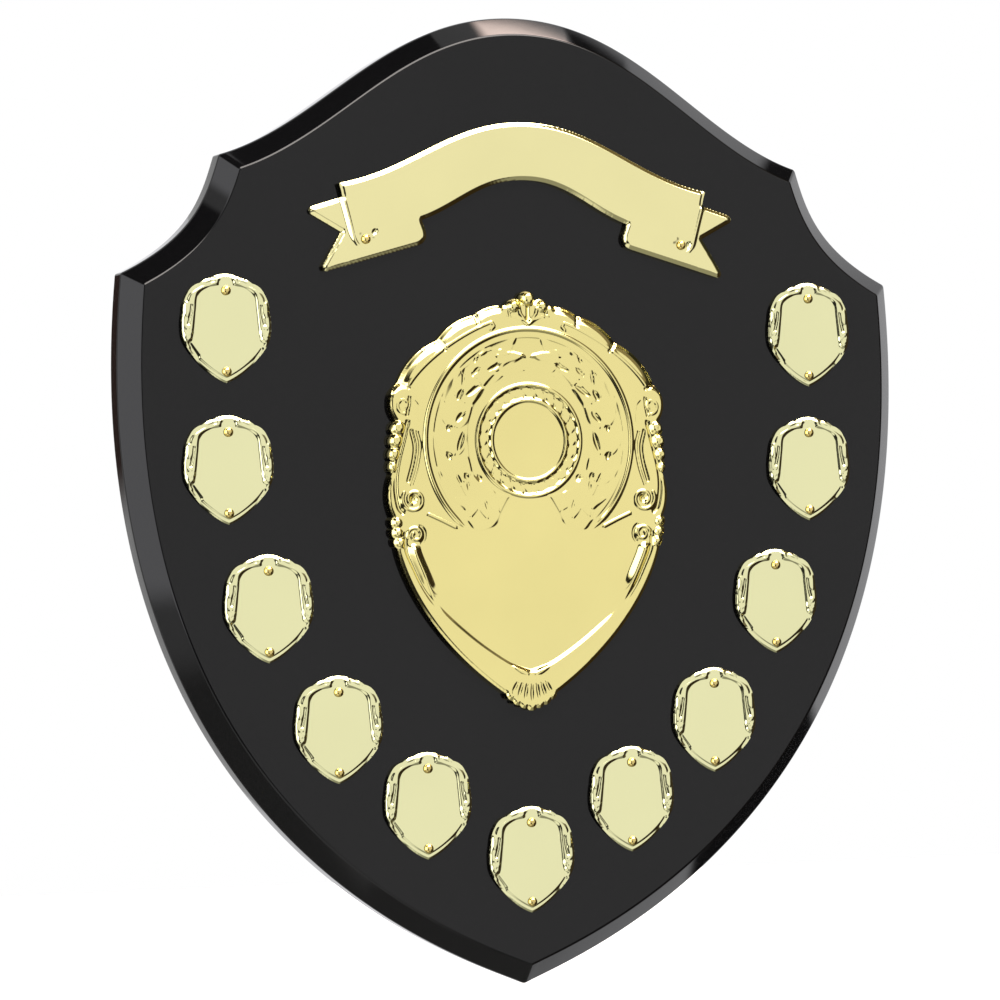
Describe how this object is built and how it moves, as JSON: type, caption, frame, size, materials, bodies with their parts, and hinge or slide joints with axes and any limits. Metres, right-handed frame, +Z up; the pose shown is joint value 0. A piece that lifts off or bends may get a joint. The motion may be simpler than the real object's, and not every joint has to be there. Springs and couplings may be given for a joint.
{
  "type": "award shield plaque",
  "caption": "Shield-shaped wall plaque: chamfered black gloss board with a pressed gold ribbon, a wreathed centre shield and small pinned side shields.",
  "frame": {"origin": "on the board's flat back, on its middle line, 153.5 mm below its top and 153 mm above its point, where it lies against the wall", "axes": "+Z up the shield, -Y out of its face, +Y into the wall, +X to the right seen from the front"},
  "size_m": [0.2654, 0.018, 0.3065],
  "materials": {
    "lacquer": "polished black gloss lacquer over wood",
    "pressed_gold": "bright gold plated pressed sheet",
    "pin_brass": "polished brass pin"
  },
  "bodies": {
    "root": {"board": "lacquer", "ribbon_scroll": "pressed_gold", "ribbon_pin_left": "pin_brass", "ribbon_pin_right": "pin_brass", "centre_shield": "pressed_gold", "side_shield_01": "pressed_gold", "side_shield_02": "pressed_gold", "side_shield_03": "pressed_gold", "side_shield_04": "pressed_gold", "side_shield_05": "pressed_gold", "side_shield_06": "pressed_gold", "side_shield_07": "pressed_gold", "side_shield_08": "pressed_gold", "side_shield_09": "pressed_gold", "side_shield_10": "pressed_gold", "side_shield_11": "pressed_gold", "side_pin_01_top": "pin_brass", "side_pin_01_bottom": "pin_brass", "side_pin_02_top": "pin_brass", "side_pin_02_bottom": "pin_brass", "side_pin_03_top": "pin_brass", "side_pin_03_bottom": "pin_brass", "side_pin_04_top": "pin_brass", "side_pin_04_bottom": "pin_brass", "side_pin_05_top": "pin_brass", "side_pin_05_bottom": "pin_brass", "side_pin_06_top": "pin_brass", "side_pin_06_bottom": "pin_brass", "side_pin_07_top": "pin_brass", "side_pin_07_bottom": "pin_brass", "side_pin_08_top": "pin_brass", "side_pin_08_bottom": "pin_brass", "side_pin_09_top": "pin_brass", "side_pin_09_bottom": "pin_brass", "side_pin_10_top": "pin_brass", "side_pin_10_bottom": "pin_brass", "side_pin_11_top": "pin_brass", "side_pin_11_bottom": "pin_brass"}
  },
  "joints": []
}
